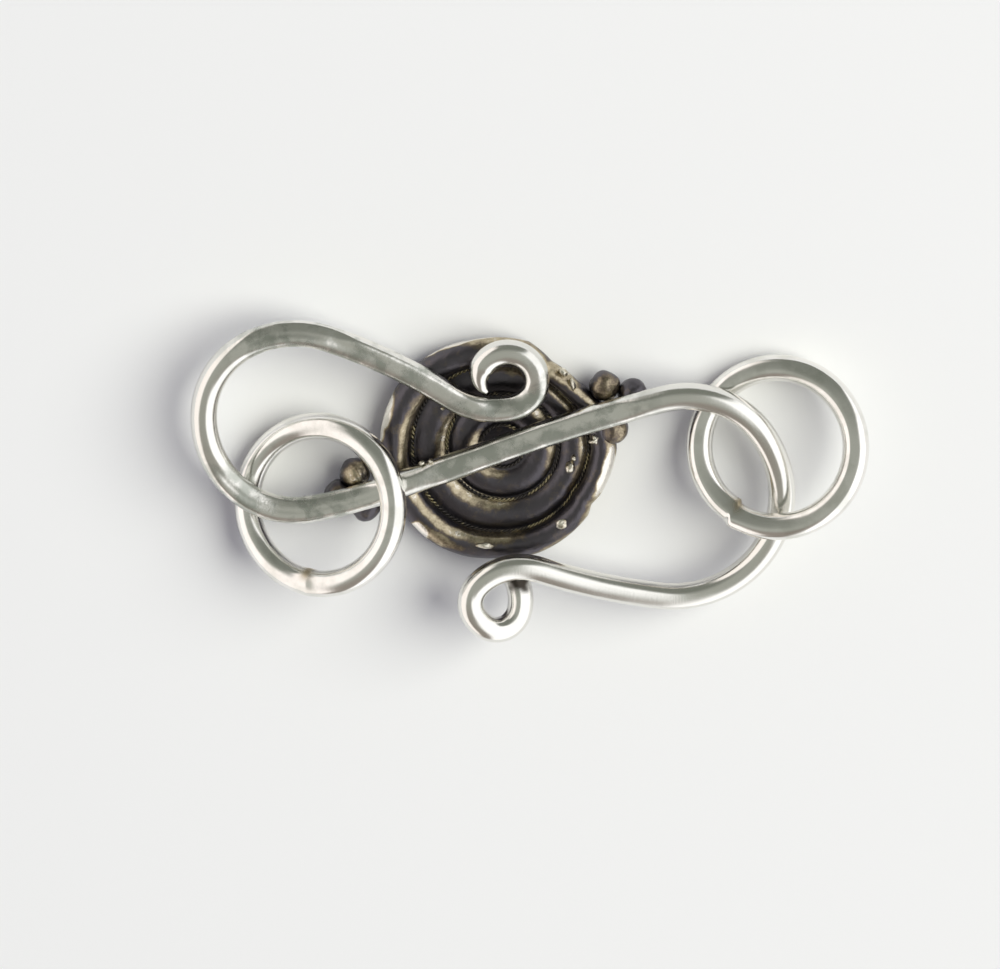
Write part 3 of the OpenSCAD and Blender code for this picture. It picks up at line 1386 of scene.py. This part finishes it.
@dataclass
class Studio:
    """A white table in a tent of white card, which is open from back to front over the clasp, with a
    soft lamp behind the right card. It gives directions and widths in degrees."""

    tilt: float = 18.0
    # What the camera looks at on the table
    aim: Span = (-1.381, -0.96)
    lens: float = 400.0
    sensor: float = 36.0
    clip: Span = (0.01, 20.0)
    # How bright the table is under the lamp alone
    lamp_share: float = 0.77
    lamp_distance: float = 1200.0
    lamp_height: float = 43.0
    lamp_way: float = 15.0
    # How wide the lamp looks from the clasp, in degrees
    lamp_width: float = 54.0
    lamp_colour: str = "#FFFFF9"
    table_half: float = 3000.0
    table_colour: str = "#EFF0EC"
    table_roughness: float = 0.9
    table_mirroring: float = 0.2
    # How bright the right card is, which the other surroundings are a share of
    brightness: float = 1.35
    # What the silver mirrors: the ceiling, darker towards the back and the front, and the two cards
    ceiling: str = "#90928B"
    back_gap: str = "#6B6E67"
    front_gap: str = "#7F7972"
    cards: tuple[Card, ...] = (
        Card("#F2ECE8", (
            Edge((-1.0, -0.42, 0.0), 0.12), Edge((-1.0, 0.0, -0.85), 0.12), Edge((-1.0, 0.32, 0.0), 0.1),
        )),
        Card("#FBFBFB", (Edge((1.0, 0.0, -0.28), 0.1), Edge((1.0, -0.9, 0.0), 0.12, 0.05))),
    )
    # What lights the table besides the lamp
    room_above: str = "#747172"
    room_round: str = "#70708E"
    # Between which slopes the ceiling fades to the gaps, and the light from round about to that from above
    gap_fade: Span = (0.1, 0.75)
    room_fade: Span = (0.45, 0.9)

    def camera(self) -> None:
        """Adds the camera at the photograph's viewing angle."""
        data = bpy.data.cameras.new("camera")
        data.lens = self.lens
        data.sensor_width = self.sensor
        data.clip_start, data.clip_end = self.clip
        camera = bpy.data.objects.new("camera", data)
        turn = Matrix.Rotation(math.radians(-self.tilt), 4, "X")
        distance = PHOTO_WIDTH * PIXEL * self.lens / self.sensor * MM
        aim = Vector((self.aim[0] * MM, self.aim[1] * MM, 0))
        camera.matrix_world = Matrix.Translation(aim + turn @ Vector((0, 0, distance))) @ turn
        bpy.context.scene.collection.objects.link(camera)
        bpy.context.scene.camera = camera

    def table(self) -> None:
        """Adds the plain white table."""
        half = self.table_half
        corners = np.array([[-half, -half, 0], [half, -half, 0], [half, half, 0], [-half, half, 0]])
        top = make_piece("table", corners, [(0, 1, 2, 3)])
        material = bpy.data.materials.new("matt_white_card")
        material.use_nodes = True
        shader = material.node_tree.nodes["Principled BSDF"]
        shader.inputs["Base Color"].default_value = linear(self.table_colour)
        shader.inputs["Roughness"].default_value = self.table_roughness
        shader.inputs["Specular IOR Level"].default_value = self.table_mirroring
        top.data.materials.append(material)

    def lamp(self) -> None:
        """Adds the soft lamp on the right, which the cards hide from the silver."""
        data = bpy.data.lights.new("soft_lamp", "AREA")
        data.shape = "DISK"
        away = self.lamp_distance * MM
        data.size = 2 * away * math.tan(math.radians(self.lamp_width / 2))
        height, way = math.radians(self.lamp_height), math.radians(self.lamp_way)
        spread = math.cos(math.radians(self.lamp_width / 2)) ** 2
        data.energy = self.lamp_share * math.pi ** 2 * away ** 2 / (spread * math.sin(height))
        data.color = linear(self.lamp_colour)[:3]
        lamp = bpy.data.objects.new("soft_lamp", data)
        side = Vector(polar(math.cos(height), way, math.sin(height))[0])
        lamp.location = side * away
        lamp.rotation_euler = side.to_track_quat("Z", "Y").to_euler()
        lamp.visible_glossy = False
        bpy.context.scene.collection.objects.link(lamp)

    def surroundings(self) -> None:
        """Adds the tent that the silver mirrors, and the softer light that it gives the table."""
        world = bpy.data.worlds.new("surroundings")
        bpy.context.scene.world = world
        world.use_nodes = True
        tree = world.node_tree
        tree.nodes.clear()
        way = add_node(tree, "TexCoord").outputs["Generated"]
        _, y, z = add_node(tree, "SeparateXYZ", [way]).outputs
        start, end = self.gap_fade
        colour = self.ceiling
        for fade, gap in (((start, end), self.back_gap), ((-start, -end), self.front_gap)):
            share = add_node(tree, "MapRange", [y, *fade], **EASED)
            colour = add_node(tree, "Mix", {0: share, COLOUR_A: colour, COLOUR_B: gap}, **COLOURS)
        for card in self.cards:
            seen = card.covers(tree, way)
            colour = add_node(tree, "Mix", {0: seen, COLOUR_A: colour, COLOUR_B: card.colour}, **COLOURS)
        share = add_node(tree, "MapRange", [z, *self.room_fade], **EASED)
        room = {0: share, COLOUR_A: self.room_round, COLOUR_B: self.room_above}
        room = add_node(tree, "Mix", room, **COLOURS)
        matt = add_node(tree, "LightPath").outputs["Is Diffuse Ray"]
        light = add_node(tree, "Mix", {0: matt, COLOUR_A: colour, COLOUR_B: room}, **COLOURS)
        sky = add_node(tree, "Background", {"Color": light, "Strength": self.brightness})
        add_node(tree, "OutputWorld", {"Surface": sky})

    def build(self) -> None:
        """Builds the whole studio."""
        self.camera()
        self.table()
        self.lamp()
        self.surroundings()
        bpy.context.scene.view_settings.view_transform = "Standard"


def main() -> None:
    """Builds the studio and the clasp, sub-assembly by sub-assembly."""
    logging.basicConfig(level=logging.INFO, format="%(message)s")
    Studio().build()
    disc = Disc()
    parts: list[SubAssembly] = [
        HookWire(),
        disc,
        TwistedWires(disc),
        Granules(),
        SolderSpots(),
        ClosedRing("left_closed_ring", Node.LEFT_RING, -8.4, -2.66, 2.24, 25.4, 153.1, 110, Seam.FLUSH,
                   seed=0.3),
        ClosedRing("right_closed_ring", Node.RIGHT_RING, 12.95, 0.06, 1.89, 19.5, 125.6, 112, Seam.STEPPED,
                   seed=1.7, flat_level=0.9),
    ]
    for part in parts:
        for piece in part.build():
            finish = piece.data.materials[0].name
            log.info("built %s: %d faces of %s", piece.name, len(piece.data.polygons), finish)


if __name__ == "__main__":
    main()
